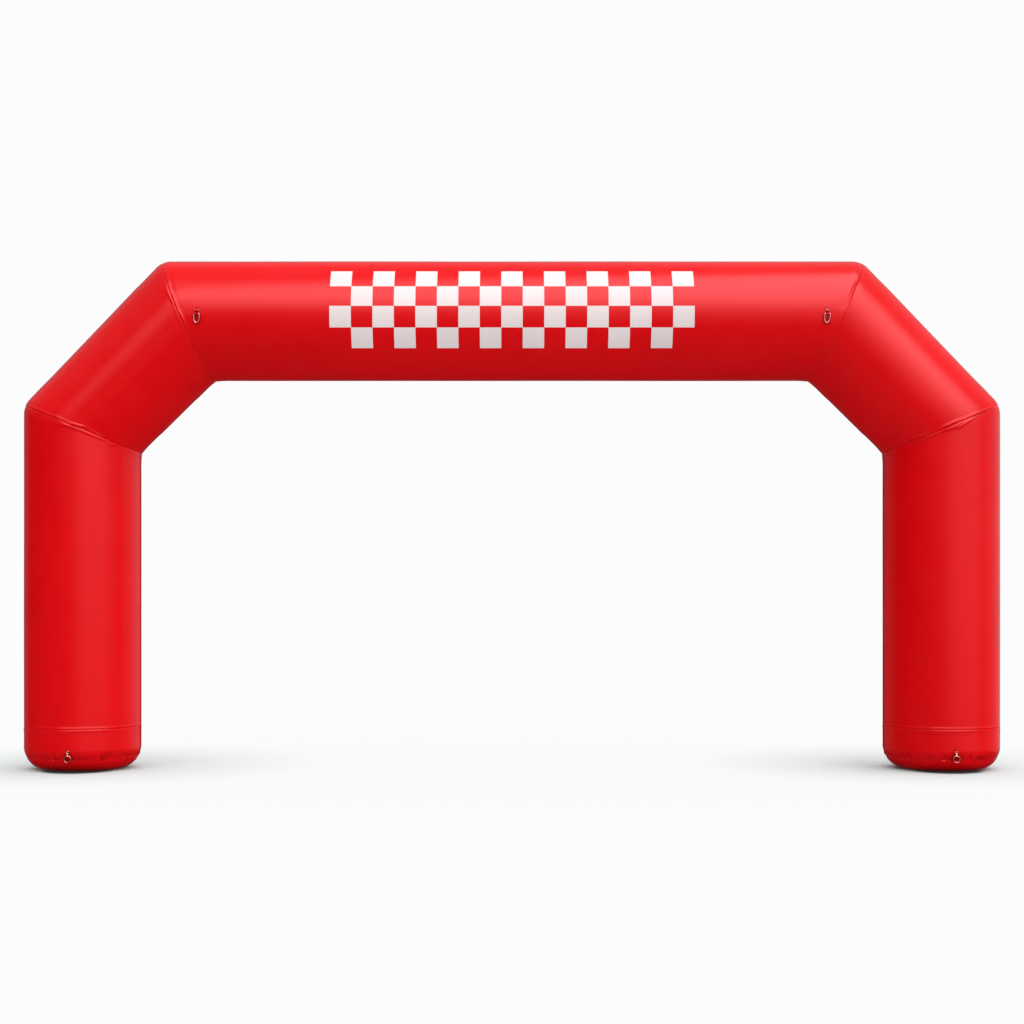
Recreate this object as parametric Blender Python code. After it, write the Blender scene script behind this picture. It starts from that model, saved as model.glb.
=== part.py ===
"""Inflatable arch: an airtight tube of coated cloth on two gathered feet, with anchor rings.

Metres, +Z up. The origin is on the ground midway between the legs, +X runs along the span and -Y is the
front. Each cut panel is a solid of its own, as full as the air makes it, and stops just short of the next.
"""

import math

import bmesh
import bpy
from mathutils import Matrix, Vector

# The arch's line, through the middle of its tubes.
LEG_X = 2.68  # from the middle of the span to each leg's axis
SHOULDER_Z = 2.115  # where a leg's axis meets a diagonal's
BEAM_END_X = 2.016  # where a diagonal's axis meets the beam's
BEAM_Z = 2.79
LEG_R = 0.355
BEAM_R = 0.368

# Seams between tubes.
GAP = 0.0003  # between pieces that touch
CORNER_RUN = 0.055  # how far from a mitre the outer side starts to round off
SEAM_DEPTH = 0.002
SEAM_RUN = 0.018
BULGE = 0.012  # swelling at the inner side of a bend, for a bend of slope 1
BULGE_RUN = 0.085
TUBE_SIDES = 36
TUBE_STEPS = (GAP / 2, 0.006, 0.018, 0.036, 0.058, 0.085)  # rings at these distances from each seam

# Feet.
FOOT_SEAM_Z = 0.265
LAP_HEIGHT = 0.030  # the foot band's doubled edge below its seam
LAP_THICKNESS = 0.001
GATHER_Z = 0.085  # the seam of the base disc
GATHER_RUN = 0.050
GATHER_DEPTH = 0.006
GATHER_PINCH = 0.003
FOOT_CURVE = 0.140  # radius that rounds the foot under to its flat
FOOT_SIDES = 72
BASE_STEPS = 6
BAND_CURVE_SHARES = (1, 0.7, 0.35, 0)  # of the turn from upright to the gathered seam

# Rings on the beam: a heavy D shape that hangs from its straight bar.
UPPER_RING_X = 1.90
UPPER_BAR_Z = 2.775
UPPER_D = {"width": 0.0405, "height": 0.063, "wire": 0.0075, "corner": 0.0055, "side": 0.022}
UPPER_STANDOFF = 0.0063  # from the beam's face to the ring's middle plane

# Rings on the feet: round, each on a small swivel link.
FOOT_RING_Z = 0.0885
FOOT_WIRE = 0.007
FOOT_RING_WIDTH = 0.047
FOOT_STANDOFF = 0.0084
INNER_TURN = 125  # degrees round the foot, from its front ring to the one at the back of its inner side
LINK_EYE = {"width": 0.018, "height": 0.017, "wire": 0.004, "corner": 0.0022, "side": 0.001}
LINK_BARREL_R = 0.0055
LINK_BARREL_HEIGHT = 0.010
SLEEVE_OUTER_R = 0.0079
SLEEVE_INNER_R = 0.0044
SLEEVE_WIDTH = 0.008
LINK_BITE = 0.002  # how deep the barrel runs into the sleeve
BARREL_SIDES = 12
SLEEVE_SIDES = 16
WIRE_SIDES = 6  # round the wire of a ring or an eye
UPPER_RING_STEPS = 12  # round the half of a D outline that is curved
LINK_EYE_STEPS = 8
FOOT_RING_STEPS = 20
CORNER_STEPS = 3

# Tabs, each a strap folded round a wire and sewn down above it.
# width, strap thickness, height over the wire, height where it leaves the cloth, hole clearance
UPPER_TAB = {"width": 0.021, "strap": 0.0018, "top": 0.037, "waist": 0.015, "clear": 0.0004}
FOOT_TAB = {"width": 0.009, "strap": 0.0016, "top": 0.026, "waist": 0.014, "clear": 0.0004}
TAB_ARC_STEPS = 10
TAB_ARC = (20, -200)  # degrees round the wire, from where the strap leaves the loop's front to its back
TAB_HOLE_SIDES = 14

SHARP_ANGLE = 40  # degrees between faces, past which an edge is drawn sharp

MATERIALS = {
    "coated_red": {"colour": (0.72, 0.008, 0.016), "roughness": 0.34, "metallic": 0.0},
    "strap_red": {"colour": (0.55, 0.006, 0.012), "roughness": 0.6, "metallic": 0.0},
    "steel": {"colour": (0.78, 0.76, 0.74), "roughness": 0.28, "metallic": 1.0},
    "brass": {"colour": (0.83, 0.68, 0.42), "roughness": 0.3, "metallic": 1.0},
}
SIDES = {"left": -1, "right": 1}


# Helpers

def clear_scene():
    for item in list(bpy.data.objects):
        bpy.data.objects.remove(item, do_unlink=True)


def make_material(name):
    finish = MATERIALS[name]
    material = bpy.data.materials.new(name)
    material.use_nodes = True
    shader = material.node_tree.nodes["Principled BSDF"]
    shader.inputs["Base Color"].default_value = (*finish["colour"], 1.0)
    shader.inputs["Roughness"].default_value = finish["roughness"]
    shader.inputs["Metallic"].default_value = finish["metallic"]
    return material


def add_object(name, mesh, placement, parent, material):
    item = bpy.data.objects.new(name, mesh)
    bpy.context.scene.collection.objects.link(item)
    item.parent = parent
    item.matrix_local = placement
    if not mesh.materials:
        mesh.materials.append(material)
    return item


def finish_mesh(name, bm):
    mesh = bpy.data.meshes.new(name)
    bm.to_mesh(mesh)
    bm.free()
    mesh.shade_smooth()
    mesh.set_sharp_from_angle(angle=math.radians(SHARP_ANGLE))
    return mesh


def join_loops(bm, low, high):
    for i in range(len(low)):
        j = (i + 1) % len(low)
        bm.faces.new((low[i], low[j], high[j], high[i]))


def loft(name, rings):
    """A closed solid through rings of points that run anticlockwise seen from its far end."""
    bm = bmesh.new()
    loops = [[bm.verts.new(point) for point in ring] for ring in rings]
    for low, high in zip(loops, loops[1:]):
        join_loops(bm, low, high)
    bm.faces.new(list(reversed(loops[0])))
    bm.faces.new(loops[-1])
    return finish_mesh(name, bm)


def cylinder(name, radius, depth, sides, turn):
    """A cylinder round the origin, along local Z before it is turned."""
    bm = bmesh.new()
    bmesh.ops.create_cone(bm, cap_ends=True, segments=sides, radius1=radius, radius2=radius, depth=depth)
    bmesh.ops.transform(bm, matrix=turn, verts=bm.verts)
    return finish_mesh(name, bm)


def wire_loop(name, points, wire):
    """A round wire along a closed outline in the local XZ plane."""
    bm = bmesh.new()
    across = Vector((0, 1, 0))
    loops = []
    for i, point in enumerate(points):
        along = points[(i + 1) % len(points)] - points[i - 1]
        side = along.cross(across).normalized()
        turns = [2 * math.pi * k / WIRE_SIDES for k in range(WIRE_SIDES)]
        ring = [point + wire / 2 * (math.cos(t) * side + math.sin(t) * across) for t in turns]
        loops.append([bm.verts.new(place) for place in ring])
    for i, loop in enumerate(loops):
        join_loops(bm, loop, loops[(i + 1) % len(loops)])
    bmesh.ops.recalc_face_normals(bm, faces=bm.faces)
    return finish_mesh(name, bm)


def arc(centre, radii, start, end, steps):
    """Points in the XZ plane on an ellipse from one angle to another, both included."""
    turns = [start + (end - start) * k / steps for k in range(steps + 1)]
    return [centre + Vector((radii[0] * math.cos(t), 0, radii[1] * math.sin(t))) for t in turns]


def combine(target, other, operation):
    """Adds other to target or cuts it away, by a Boolean modifier that stays on the target."""
    other.hide_render = True
    other.display_type = "WIRE"
    change = target.modifiers.new(operation.lower(), "BOOLEAN")
    change.operation = operation
    change.solver = "EXACT"
    change.object = other


def tube_placement(start, end, outer):
    """Local Z along the tube from its start, and local X towards the outer side of the bends."""
    z = (end - start).normalized()
    y = z.cross(outer).normalized()
    placement = Matrix((y.cross(z), y, z)).transposed().to_4x4()
    placement.translation = start
    return placement


# Tubes

def fade(distance, run):
    return max(0.0, 1 - distance / run) ** 2


def seam_offset(distance, angle, slope):
    """How much nearer the axis the cloth is at this distance from a seam whose mitre has this slope."""
    outer = max(0.0, math.cos(angle))
    inner = max(0.0, -math.cos(angle))
    rounding = CORNER_RUN * slope * outer / 2 * fade(distance, CORNER_RUN)
    groove = SEAM_DEPTH * (1 - 0.5 * outer) * fade(distance, SEAM_RUN)
    swelling = BULGE * slope * inner ** 2 * fade(distance, BULGE_RUN)
    return rounding + groove - swelling


def tube(name, start, end, outer, radii, slopes, parent, material):
    """A straight tube between two mitre planes, through the axis points start and end."""
    length = (end - start).length
    rings = []
    for at_end, steps in ((0, TUBE_STEPS), (1, reversed(TUBE_STEPS))):
        sign = -1 if at_end else 1
        for distance in steps:
            share = (length * at_end + sign * distance) / length
            full = radii[0] + (radii[1] - radii[0]) * share
            ring = []
            for i in range(TUBE_SIDES):
                angle = 2 * math.pi * i / TUBE_SIDES
                radius = full - seam_offset(distance, angle, slopes[at_end])
                x = radius * math.cos(angle)
                z = length * at_end + sign * (distance - x * slopes[at_end])
                ring.append(Vector((x, radius * math.sin(angle), z)))
            rings.append(ring)
    return add_object(name, loft(name, rings), tube_placement(start, end, outer), parent, material)


def make_tubes(parent, material):
    """Both legs, both diagonals and the beam, mitred where their axes meet."""
    up = Vector((0, 0, 1))
    ends = {}
    for side, sign in SIDES.items():
        foot = Vector((sign * LEG_X, 0, FOOT_SEAM_Z))
        shoulder = Vector((sign * LEG_X, 0, SHOULDER_Z))
        corner = Vector((sign * BEAM_END_X, 0, BEAM_Z))
        lean = (corner - shoulder).angle(up)
        shoulder_slope = math.tan(lean / 2)
        corner_slope = math.tan((math.pi / 2 - lean) / 2)
        outward = Vector((sign, 0, 0))
        tube(f"leg_{side}", foot, shoulder, outward, (LEG_R, LEG_R), (0, shoulder_slope), parent, material)
        slopes = (shoulder_slope, corner_slope)
        tube(f"diagonal_{side}", shoulder, corner, outward, (LEG_R, BEAM_R), slopes, parent, material)
        ends[side] = corner
    slopes = (corner_slope, corner_slope)
    tube("beam", ends["left"], ends["right"], up, (BEAM_R, BEAM_R), slopes, parent, material)


# Feet

def gather_strength(angle):
    """How deep the gathers are round the foot, from 0.4 to 1, as uneven as sewn by hand."""
    return 0.7 + 0.2 * math.sin(3 * angle + 0.8) + 0.1 * math.sin(7 * angle)


def foot_ring(height, radius):
    """A level ring of the foot: the base seam pinches it, and gathers draw in every other point."""
    near = max(0.0, 1 - abs(height - GATHER_Z) / GATHER_RUN)
    ring = []
    for i in range(FOOT_SIDES):
        angle = 2 * math.pi * i / FOOT_SIDES
        fold = GATHER_DEPTH * gather_strength(angle) * near * (i % 2)
        reach = radius - GATHER_PINCH * near ** 2 - fold
        ring.append(Vector((reach * math.cos(angle), reach * math.sin(angle), height)))
    return ring


def curve_point(turn):
    """Height and radius where the foot's rounded edge has turned this far under."""
    return FOOT_CURVE * (1 - math.sin(turn)), LEG_R - FOOT_CURVE * (1 - math.cos(turn))


def foot_band(name, placement, parent, material):
    """From the gathered seam up to the level seam, with the lap's doubled edge near the top."""
    seam_turn = math.asin(1 - GATHER_Z / FOOT_CURVE)
    rings = []
    for share in BAND_CURVE_SHARES:
        height, radius = curve_point(share * seam_turn)
        rings.append(foot_ring(max(height, GATHER_Z + GAP / 2), radius))
    lap_edge = FOOT_SEAM_Z - LAP_HEIGHT
    for height, extra in (
        (lap_edge - LAP_THICKNESS, 0),
        (lap_edge + LAP_THICKNESS, LAP_THICKNESS),
        (FOOT_SEAM_Z - SEAM_RUN / 2, LAP_THICKNESS / 2),
        (FOOT_SEAM_Z - GAP / 2, -SEAM_DEPTH),
    ):
        rings.append(foot_ring(height, LEG_R + extra))
    return add_object(name, loft(name, rings), placement, parent, material)


def base_disc(name, placement, parent, material):
    """The disc under the foot, drawn up to the gathered seam and pressed flat on the ground."""
    seam_turn = math.asin(1 - GATHER_Z / FOOT_CURVE)
    rings = []
    for step in range(BASE_STEPS + 1):
        turn = math.pi / 2 + (seam_turn - math.pi / 2) * step / BASE_STEPS
        height, radius = curve_point(turn)
        rings.append(foot_ring(min(height, GATHER_Z - GAP / 2), radius))
    return add_object(name, loft(name, rings), placement, parent, material)


# Rings, links and tabs. Each is drawn as it hangs on a wall that faces -Y and stands at local Y = 0.

def d_outline(size, steps):
    """A D ring's centre line, from one end of its bar round to the other, with the bar at Z = 0."""
    half = (size["width"] - size["wire"]) / 2
    knee = -size["corner"] - size["side"]
    bend = (size["corner"], size["corner"])
    right = Vector((half - size["corner"], 0, -size["corner"]))
    left = Vector((-right.x, 0, right.z))
    points = arc(right, bend, math.pi / 2, 0, CORNER_STEPS)
    points += arc(Vector((0, 0, knee)), (half, size["height"] - size["wire"] + knee), 0, -math.pi, steps)
    points += arc(left, bend, math.pi, math.pi / 2, CORNER_STEPS)
    return points


def circle_outline(radius, steps):
    return arc(Vector(), (radius, radius), 0, 2 * math.pi * (1 - 1 / steps), steps - 1)


def tab_mesh(name, size, wire, standoff):
    """The strap's side outline, extruded to its width: a loop round the wire, then flat on the cloth."""
    loop = wire / 2 + size["clear"] + size["strap"]
    centre = Vector((0, -standoff, 0))
    outline = []
    for k in range(TAB_ARC_STEPS + 1):
        turn = math.radians(TAB_ARC[0] + (TAB_ARC[1] - TAB_ARC[0]) * k / TAB_ARC_STEPS)
        outline.append(centre + loop * Vector((0, -math.cos(turn), math.sin(turn))))
    back, front = -GAP, -GAP - 2 * size["strap"]
    outline += [Vector((0, back, size["waist"])), Vector((0, back, size["top"]))]
    outline += [Vector((0, front, size["top"])), Vector((0, front, size["waist"]))]
    half = Vector((size["width"] / 2, 0, 0))
    return loft(name, [[point - half for point in outline], [point + half for point in outline]])


def tab(name, size, wire, standoff, placement, parent, material):
    item = add_object(name, tab_mesh(name, size, wire, standoff), placement, parent, material)
    turn = Matrix.Translation((0, -standoff, 0)) @ Matrix.Rotation(math.pi / 2, 4, "Y")
    hole = cylinder(f"{name}_hole", wire / 2 + size["clear"], 2 * size["width"], TAB_HOLE_SIDES, turn)
    combine(item, add_object(f"{name}_hole", hole, placement, parent, material), "DIFFERENCE")
    return item


def upper_ring(side, sign, parent, materials):
    bar = Vector((sign * UPPER_RING_X, -BEAM_R, UPPER_BAR_Z))
    wall = Matrix.Translation(bar)
    hang = Matrix.Translation(bar + Vector((0, -UPPER_STANDOFF, 0)))
    ring = wire_loop(f"upper_ring_{side}", d_outline(UPPER_D, UPPER_RING_STEPS), UPPER_D["wire"])
    add_object(f"upper_ring_{side}", ring, hang, parent, materials["steel"])
    strap = materials["strap_red"]
    tab(f"upper_tab_{side}", UPPER_TAB, UPPER_D["wire"], UPPER_STANDOFF, wall, parent, strap)


def sleeve_mesh(name):
    """The short sleeve at the foot of a link, which the ring's wire runs through along local X."""
    bm = bmesh.new()
    loops = []
    for radius, x in (
        (SLEEVE_INNER_R, -SLEEVE_WIDTH / 2),
        (SLEEVE_OUTER_R, -SLEEVE_WIDTH / 2),
        (SLEEVE_OUTER_R, SLEEVE_WIDTH / 2),
        (SLEEVE_INNER_R, SLEEVE_WIDTH / 2),
    ):
        turns = [2 * math.pi * k / SLEEVE_SIDES for k in range(SLEEVE_SIDES)]
        loops.append([bm.verts.new((x, radius * math.cos(t), radius * math.sin(t))) for t in turns])
    for i, loop in enumerate(loops):
        join_loops(bm, loop, loops[(i + 1) % len(loops)])
    bmesh.ops.recalc_face_normals(bm, faces=bm.faces)
    return finish_mesh(name, bm)


def link(name, hang, heights, parent, material):
    """A swivel link: a barrel between the sleeve that holds the ring and the eye that the tab holds."""
    sleeve_z, barrel_z, eye_z = heights
    turn = Matrix.Translation((0, 0, barrel_z))
    barrel = cylinder(name, LINK_BARREL_R, LINK_BARREL_HEIGHT, BARREL_SIDES, turn)
    item = add_object(name, barrel, hang, parent, material)
    eye = wire_loop(f"{name}_eye", d_outline(LINK_EYE, LINK_EYE_STEPS), LINK_EYE["wire"])
    at_eye = hang @ Matrix.Translation((0, 0, eye_z))
    combine(item, add_object(f"{name}_eye", eye, at_eye, parent, material), "UNION")
    at_sleeve = hang @ Matrix.Translation((0, 0, sleeve_z))
    sleeve = add_object(f"{name}_sleeve", sleeve_mesh(f"{name}_sleeve"), at_sleeve, parent, material)
    combine(item, sleeve, "UNION")
    return item


def foot_anchor(kind, side, foot, angle, metal, parent, materials):
    """A ring, its link and its tab, on the foot's wall at this angle from the front."""
    facing = foot @ Matrix.Rotation(angle, 4, "Z")
    ring_r = (FOOT_RING_WIDTH - FOOT_WIRE) / 2
    sleeve_z = ring_r
    barrel_z = sleeve_z + SLEEVE_OUTER_R + LINK_BARREL_HEIGHT / 2 - LINK_BITE
    eye_z = barrel_z + LINK_BARREL_HEIGHT / 2 + LINK_EYE["height"] - LINK_EYE["wire"]
    hang = facing @ Matrix.Translation((0, -LEG_R - FOOT_STANDOFF, FOOT_RING_Z))
    ring = wire_loop(f"{kind}_ring_{side}", circle_outline(ring_r, FOOT_RING_STEPS), FOOT_WIRE)
    add_object(f"{kind}_ring_{side}", ring, hang, parent, materials["steel"])
    link(f"{kind}_link_{side}", hang, (sleeve_z, barrel_z, eye_z), parent, materials[metal])
    wall = facing @ Matrix.Translation((0, -LEG_R, FOOT_RING_Z + eye_z))
    strap = materials["strap_red"]
    tab(f"{kind}_tab_{side}", FOOT_TAB, LINK_EYE["wire"], FOOT_STANDOFF, wall, parent, strap)


def main():
    clear_scene()
    materials = {name: make_material(name) for name in MATERIALS}
    arch = bpy.data.objects.new("inflatable_arch", None)
    bpy.context.scene.collection.objects.link(arch)
    make_tubes(arch, materials["coated_red"])
    for side, sign in SIDES.items():
        foot = Matrix.Translation((sign * LEG_X, 0, 0))
        foot_band(f"foot_{side}", foot, arch, materials["coated_red"])
        base_disc(f"base_{side}", foot, arch, materials["coated_red"])
        upper_ring(side, sign, arch, materials)
        metal = "steel" if side == "left" else "brass"
        foot_anchor("front", side, foot, 0, metal, arch, materials)
        foot_anchor("inner", side, foot, -sign * math.radians(INNER_TURN), metal, arch, materials)


main()
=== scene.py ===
"""The looks of an inflatable arch: cloth skins, stitching, tabs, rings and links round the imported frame.

Metres, +Z up, in the frame's axes: +X along the span and -Y to the front.
"""

import math

import bpy
import numpy as np
from mathutils import Matrix, Vector


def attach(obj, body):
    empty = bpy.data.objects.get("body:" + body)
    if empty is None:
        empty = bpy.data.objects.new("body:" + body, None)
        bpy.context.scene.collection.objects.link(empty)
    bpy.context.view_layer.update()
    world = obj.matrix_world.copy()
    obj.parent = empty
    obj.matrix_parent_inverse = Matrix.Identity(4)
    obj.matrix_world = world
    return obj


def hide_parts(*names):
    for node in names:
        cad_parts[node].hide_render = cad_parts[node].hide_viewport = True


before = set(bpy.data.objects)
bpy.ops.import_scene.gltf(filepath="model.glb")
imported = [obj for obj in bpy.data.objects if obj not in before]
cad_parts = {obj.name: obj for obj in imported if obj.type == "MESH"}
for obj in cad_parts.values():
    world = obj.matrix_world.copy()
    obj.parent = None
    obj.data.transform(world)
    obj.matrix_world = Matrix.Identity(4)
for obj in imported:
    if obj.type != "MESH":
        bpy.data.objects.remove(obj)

# The frame's own sizes, which the skins follow.
LEG_X = 2.68
SHOULDER_Z = 2.115
BEAM_END_X = 2.016
BEAM_Z = 2.79
LEG_R = 0.355
BEAM_R = 0.368
GAP = 0.0003
CORNER_RUN = 0.055
BULGE = 0.012
BULGE_RUN = 0.085
FOOT_SEAM_Z = 0.265
LAP_HEIGHT = 0.030
LAP_THICKNESS = 0.001
GATHER_Z = 0.085
GATHER_RUN = 0.050
GATHER_DEPTH = 0.006
GATHER_PINCH = 0.003
GATHER_FOLDS = 36
FOOT_CURVE = 0.140
UPPER_RING_X = 1.90
UPPER_BAR_Z = 2.775
UPPER_D = {"width": 0.0405, "height": 0.063, "wire": 0.0075, "corner": 0.0055, "side": 0.022}
UPPER_STANDOFF = 0.0063
FOOT_RING_Z = 0.0885
FOOT_WIRE = 0.007
FOOT_RING_WIDTH = 0.047
FOOT_STANDOFF = 0.0084
INNER_TURN = 125
LINK_EYE = {"width": 0.018, "height": 0.017, "wire": 0.004, "corner": 0.0022, "side": 0.001}
LINK_BARREL_R = 0.0055
LINK_BARREL_HEIGHT = 0.010
SLEEVE_OUTER_R = 0.0079
SLEEVE_INNER_R = 0.0044
SLEEVE_WIDTH = 0.008
LINK_BITE = 0.002
UPPER_TAB = {"width": 0.021, "strap": 0.0018, "top": 0.037, "waist": 0.015, "clear": 0.0004}
FOOT_TAB = {"width": 0.009, "strap": 0.0016, "top": 0.026, "waist": 0.014, "clear": 0.0004}
SIDES = {"left": -1, "right": 1}

# How fine the skins are.
TUBE_SIDES = 288
FOOT_SIDES = 576
SEAM_ZONE = 0.030  # next to a seam, where rings are closest
SEAM_ZONE_RINGS = 22
NEAR_RUN = 0.150  # where the seam's puckers end
NEAR_RINGS = 16
MIDDLE_PITCH = 0.060

# The relief of a sewn seam, by distance from where its edges meet.
CREASE_DEPTH = 0.0017
CREASE_RUN = 0.0034
CREASE_LEAST = 0.2  # what is left of it where a corner's inner side is drawn smooth
# At each tube's end: how high the ridge stands, how far from the seam, and between which cosines of the turn
# from the tube's outer side.
RIDGES = {
    "leg_foot": (0.0030, 0.0075, -0.85, 0.66),
    "leg_shoulder": (0.0036, 0.0095, -0.60, 0.15),
    "diagonal_shoulder": (0.0044, 0.0095, -0.12, 0.84),
    "diagonal_corner": (0.0005, 0.0095, -0.30, 0.80),
    "beam_corner": (0.0030, 0.0095, -0.20, 0.80),
    "foot_top": (0.0009, 0.0075, -0.85, 0.66),
}
RIDGE_LOW = 0.0003
RIDGE_EDGE = 0.2  # over how much of the cosine a ridge comes and goes
STITCH_AT = 0.0165
PUCKER_DEPTH = 0.0036
PUCKER_RUN = 0.070
PUCKER_LEAST_RUN = 0.015
PUCKER_ONSET = 0.010
PUCKER_WAVES = (5, 17)  # waves in a turn
REACH_WAVES = (3, 9)  # how far the puckers run
PATCH_WAVES = (2, 7)  # how the ridges and puckers come and go
TUCKS = 11  # in a turn
TUCK_HEIGHT = 0.0062
TUCK_LENGTH = 0.180
TUCK_AT = 0.007
TUCK_DRIFT = (0.04, 0.22)  # how fast a tuck draws away from the seam
TUCK_WIDTH = (0.0050, 0.05)  # at its start, and how it grows with its length
UNEVEN = 0.0004  # slow waviness of a full tube

# Rings of the foot's skin: up the rounded edge, up the plain band, and across the base disc.
CURVE_RISE = 0.0525
CURVE_RINGS = 22
PLAIN_PITCH = 0.011
PLAIN_RINGS = 8
DISC_RINGS = 30
LAP_STEPS = (-0.006, -0.002, -0.0002, 0.0002, 0.002)  # from the doubled edge

# The gathers' folds are drawn from these ranges. Depths are shares of GATHER_DEPTH, and what runs up and down
# is a share of GATHER_RUN.
GATHER_FOLD = {
    "angle": (-0.070, 0.070),
    "depth": (0.2, 2.5),
    "width": (0.018, 0.055),
    "up": (0.6, 1.3),
    "down": (0.2, 0.7),
    "slant": (-0.6, 0.6),
}
SMALL_FOLD = {
    "angle": (0.06, 0.12),
    "depth": (0.4, 1.0),
    "width": (0.010, 0.020),
    "up": (0.3, 0.8),
    "down": (0.2, 0.5),
    "slant": (-0.8, 0.8),
}
SMALL_FOLD_CHANCE = 0.6
SEAM_LINE = (0.0005, 0.0024)  # how deep and how wide the gathered seam itself is drawn in

# Stitches.
STITCH_LENGTH = 0.0038
STITCH_PITCH = 0.0050
THREAD_R = 0.00055
THREAD_SIDES = 5

# Bar tacks on the tabs: each one's middle, width, lower end and upper end. On the beam's tabs their pale pink
# thread is a painted highlight, and the right tab's wide top tack paints the highlight along the strap's
# fold.
UPPER_TACKS = {
    "left": ((-0.0071, 0.0066, 0.0222, 0.0275), (0.0071, 0.0066, 0.0222, 0.0275)),
    "right": (
        (-0.0085, 0.0040, 0.0110, 0.0225),
        (0.0085, 0.0040, 0.0110, 0.0225),
        (0, 0.0208, 0.0228, 0.0290),
    ),
}
FOOT_TACKS = ((0, 0.0066, 0.0160, 0.0185), (0, 0.0066, 0.0215, 0.0240))
TACK_PITCH = 0.00085
TACK_SLANT = 0.0002
TACK_R = 0.0004
UPPER_LEAN = {"left": 1.0, "right": 5.0}  # degrees that each ring on the beam hangs askew

# Weaves.
CLOTH_PITCH = 0.0022
WEBBING_PITCH = 0.0016

# How much painted shade darkens the red: round the rings, where their shadow falls on the cloth, in the
# gathers' folds and on the beam's straps.
RING_PAINTED_SHADOW = 0.42
FOLD_PAINTED_SHADE = 0.40
STRAP_PAINTED_SHADE = 0.75
PAINTED_SHADE_COLOUR = (0.02, 0.0, 0.0)

# The check band printed on the beam's front.
CHECK_SQUARE = 0.1295
CHECK_ROWS = 4
CHECK_COLUMNS = 17
CHECK_TOP = 44.6  # degrees from straight up

# Camera and light.
IMAGE = 1024  # pixels each way
FOCAL_PX = 1632
HORIZON_PX = 600  # down from the picture's top
SENSOR_MM = 36
CAMERA_PLACE = (0, -10.2, 1.05)
FLOOR_SIZE = 90
FLOOR_COLOUR = (0.405, 0.430, 0.430)
# Beside each leg's axis: how far along Y the middle is, the reach from there, and the amount.
FLOOR_SHADE = (-0.14, (0.17, 0.25), 0.12)  # painted contact shadow: how pale the floor still is under a foot's front edge
FLOOR_GLOW = (0.35, (0.45, 1.45), 0.85)  # painted light: the floor's own glow, away from the feet
WHITE = 0.975  # the studio's, as the camera sees it
SKY = 0.95  # what lights the cloth and floor, and how it grows towards +X, +Y and +Z
SKY_SLOPE = (1.05, -0.13, 2.05)
# What gloss mirrors: a dim room, darker low down and on the left, with a bright panel overhead, a dimmer one
# in front, a faint one low behind on the right and a faint glow at the rear. Each edge is a direction, with
# the share of it at which the light starts and is full.
ROOM_LOW = 0.02
ROOM_HIGH = 0.20
ROOM_RIGHT = 0.15
ROOM_RISE = ((0.0, 0.0, 1.0), 0.0, 0.7)
ROOM_SIDE = ((1.0, 0.0, 0.0), -0.2, 0.8)
PANEL = 4.55
PANEL_EDGES = (
    ((0.81, -0.59, -0.12), -0.14, 0.22),
    ((-0.59, -0.81, 0.30), -0.18, 0.25),
    ((0.0, 0.0, 1.0), 0.03, 0.74),
)
FRONT_PANEL = 0.93
FRONT_EDGES = (
    ((1.0, 0.0, 0.0), -0.30, 0.36),
    ((0.0, -1.0, 0.0), 0.12, 0.70),
    ((0.0, 0.0, 1.0), -0.26, 0.05),
)
BACK_PANEL = 0.32
BACK_EDGES = (
    ((0.75, 0.66, 0.0), 0.40, 0.85),
    ((0.0, 0.0, 1.0), -0.30, 0.0),
    ((0.0, 0.0, -1.0), -0.38, -0.12),
)
ROOM_REAR = 0.10
REAR_EDGES = (
    ((0.0, 1.0, 0.0), 0.3, 0.6),
    ((0.0, 0.0, 1.0), -0.45, -0.15),
)
ROOM_BACK = ((0.0, 1.0, 0.0), 0.90, 0.995)  # where the room dims straight behind the arch
ROOM_BACK_LOSS = 0.9
ROOM_COLOUR = (1.0, 0.86, 0.88)


# Node helpers

def node(tree, kind, inputs=(), **settings):
    """A new node, with its inputs set to values or linked to sockets."""
    item = tree.nodes.new(kind)
    for key, value in settings.items():
        setattr(item, key, value)
    for key, value in dict(inputs).items():
        if isinstance(value, bpy.types.NodeSocket):
            tree.links.new(value, item.inputs[key])
        else:
            item.inputs[key].default_value = value
    return item


def calc(tree, operation, *values):
    return node(tree, "ShaderNodeMath", enumerate(values), operation=operation).outputs[0]


def hypot(tree, a, b):
    return calc(tree, "SQRT", calc(tree, "ADD", calc(tree, "MULTIPLY", a, a), calc(tree, "MULTIPLY", b, b)))


def ramp(tree, value, start, end, low=0.0, high=1.0, kind="SMOOTHSTEP"):
    inputs = {"Value": value, "From Min": start, "From Max": end, "To Min": low, "To Max": high}
    return node(tree, "ShaderNodeMapRange", inputs, interpolation_type=kind).outputs["Result"]


def noise(tree, place, scale, detail=2.0, roughness=0.5):
    inputs = {"Vector": place, "Scale": scale, "Detail": detail, "Roughness": roughness}
    return node(tree, "ShaderNodeTexNoise", inputs).outputs["Fac"]


def blend_colours(tree, factor, first, second):
    """Between two colours, each an RGB triple or a socket."""
    item = node(tree, "ShaderNodeMix", data_type="RGBA")
    for socket, value in ((item.inputs[0], factor), (item.inputs[6], first), (item.inputs[7], second)):
        if isinstance(value, bpy.types.NodeSocket):
            tree.links.new(value, socket)
        else:
            socket.default_value = (*value, 1.0) if isinstance(value, tuple) else value
    return item.outputs[2]


def bump(tree, height, distance, normal=None):
    inputs = {"Height": height, "Distance": distance, "Strength": 1.0}
    if normal is not None:
        inputs["Normal"] = normal
    return node(tree, "ShaderNodeBump", inputs).outputs["Normal"]


def new_material(name):
    material = bpy.data.materials.new(name)
    material.use_nodes = True
    tree = material.node_tree
    return material, tree, tree.nodes["Principled BSDF"]


def cloth_place(tree):
    """Metres across the cloth, metres along it, and the place on the object."""
    flat = node(tree, "ShaderNodeSeparateXYZ", {0: node(tree, "ShaderNodeUVMap").outputs[0]})
    return flat.outputs[0], flat.outputs[1], node(tree, "ShaderNodeTexCoord").outputs["Object"]


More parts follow.
